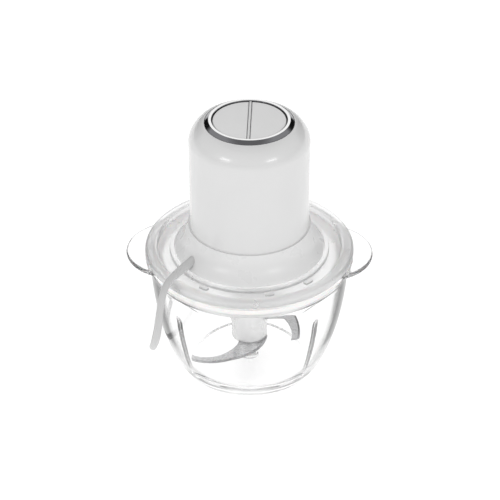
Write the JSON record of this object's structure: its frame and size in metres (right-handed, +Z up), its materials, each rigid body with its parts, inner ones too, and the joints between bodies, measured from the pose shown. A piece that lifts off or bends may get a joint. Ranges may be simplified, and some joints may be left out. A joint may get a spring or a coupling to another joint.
{
  "type": "mini chopper food processor",
  "caption": "Electric chopper: glass bowl with ear handles, clear lid, removable motor unit with half-moon speed buttons, geared two-level blade and mains lead.",
  "frame": {"origin": "on the table, under the centre of the bowl's foot", "axes": "+Z up along the blade's axis; the ear handles lie along +X and -X; the mains lead leaves the skirt towards -Y and is coiled on the +Y side"},
  "size_m": [0.211, 0.315, 0.2439],
  "materials": {
    "bowl_glass": "clear polished glass",
    "lid_clear": "clear polished plastic",
    "sleeve_clear": "translucent moulded plastic",
    "white_plastic": "white glossy moulded plastic",
    "skirt_plastic": "light grey glossy moulded plastic",
    "button_plastic": "light grey satin moulded plastic",
    "inner_plastic": "natural moulded nylon",
    "chrome": "mirror plated",
    "steel": "brushed stainless steel",
    "lamination": "varnished electrical steel",
    "aluminium": "die-cast aluminium",
    "copper": "enamelled copper",
    "brass": "turned brass",
    "carbon": "graphite",
    "silicone": "translucent silicone",
    "black_rubber": "moulded rubber",
    "board": "glass-epoxy board",
    "switch_plastic": "moulded phenolic",
    "capacitor_plastic": "moulded case",
    "cord_pvc": "light grey flexible PVC",
    "plated": "nickel-plated brass"
  },
  "bodies": {
    "bowl": {"glass_bowl": "bowl_glass", "pivot_pin": "steel"},
    "blade_unit": {"blade_hub": "sleeve_clear", "hub_core": "white_plastic", "hub_bush": "steel", "lower_blade": "steel", "upper_blade": "steel"},
    "lid": {"lid": "lid_clear", "lid_gasket": "silicone"},
    "motor_unit": {"motor_housing": "white_plastic", "base_skirt": "skirt_plastic", "bezel_ring": "chrome", "bridge_bar": "button_plastic", "low_spring": "steel", "high_spring": "steel", "switch_carrier": "inner_plastic", "switch_board": "board", "low_switch": "switch_plastic", "high_switch": "switch_plastic", "suppressor_capacitor": "capacitor_plastic", "stator_core": "lamination", "field_coils": "copper", "motor_bolts": "steel", "bolt_spacers": "steel", "upper_bracket": "aluminium", "lower_bracket": "aluminium", "upper_bearing": "brass", "lower_bearing": "brass", "brush_holders": "brass", "carbon_brushes": "carbon", "motor_dampers": "black_rubber", "mount_screws": "steel", "housing_screws": "steel", "ring_gear": "inner_plastic", "gearbox_cover": "aluminium", "output_bush": "brass", "strain_relief": "cord_pvc", "cord_inner_end": "cord_pvc", "cord_clamp": "inner_plastic", "clamp_screws": "steel", "cord_run": "cord_pvc", "cord_coil": "cord_pvc", "cord_tail": "cord_pvc", "plug_body": "cord_pvc", "plug_pins": "plated"},
    "low_button": {"low_button": "button_plastic"},
    "high_button": {"high_button": "button_plastic"},
    "armature": {"motor_shaft": "steel", "rotor_stack": "lamination", "rotor_windings": "copper", "commutator": "copper", "cooling_fan": "inner_plastic", "sun_pinion": "steel"},
    "carrier": {"planet_carrier": "steel", "planet_pins": "steel", "output_coupling": "white_plastic"},
    "planet_1": {"planet_gear_1": "inner_plastic"},
    "planet_2": {"planet_gear_2": "inner_plastic"},
    "planet_3": {"planet_gear_3": "inner_plastic"}
  },
  "joints": [
    {"name": "lid_lift", "type": "slide", "parent": "bowl", "child": "lid", "axis": [0, 0, 1], "range_m": [0, 0.022]},
    {"name": "motor_lift", "type": "slide", "parent": "lid", "child": "motor_unit", "axis": [0, 0, 1], "range_m": [0, 0.024]},
    {"name": "low_press", "type": "slide", "parent": "motor_unit", "child": "low_button", "axis": [0, 0, -1], "range_m": [0, 0.003], "stiffness_N_per_m": 500, "springref_m": -0.002, "deforming": ["low_spring"]},
    {"name": "high_press", "type": "slide", "parent": "motor_unit", "child": "high_button", "axis": [0, 0, -1], "range_m": [0, 0.003], "stiffness_N_per_m": 500, "springref_m": -0.002, "deforming": ["high_spring"]},
    {"name": "armature_spin", "type": "hinge", "parent": "motor_unit", "child": "armature", "pos_m": [0, 0, 0.175], "axis": [0, 0, 1], "continuous": true},
    {"name": "carrier_spin", "type": "hinge", "parent": "motor_unit", "child": "carrier", "pos_m": [0, 0, 0.125], "axis": [0, 0, 1], "continuous": true},
    {"name": "blade_spin", "type": "hinge", "parent": "bowl", "child": "blade_unit", "pos_m": [0, 0, 0.04], "axis": [0, 0, 1], "continuous": true},
    {"name": "planet_1_spin", "type": "hinge", "parent": "carrier", "child": "planet_1", "pos_m": [0.012, 0, 0.13], "axis": [0, 0, 1], "continuous": true},
    {"name": "planet_2_spin", "type": "hinge", "parent": "carrier", "child": "planet_2", "pos_m": [-0.006, 0.01039, 0.13], "axis": [0, 0, 1], "continuous": true},
    {"name": "planet_3_spin", "type": "hinge", "parent": "carrier", "child": "planet_3", "pos_m": [-0.006, -0.01039, 0.13], "axis": [0, 0, 1], "continuous": true}
  ],
  "couplings": [
    {"joint": "carrier_spin", "follows": "armature_spin", "ratio": 0.2},
    {"joint": "blade_spin", "follows": "armature_spin", "ratio": 0.2},
    {"joint": "planet_1_spin", "follows": "armature_spin", "ratio": -0.53333},
    {"joint": "planet_2_spin", "follows": "armature_spin", "ratio": -0.53333},
    {"joint": "planet_3_spin", "follows": "armature_spin", "ratio": -0.53333}
  ]
}
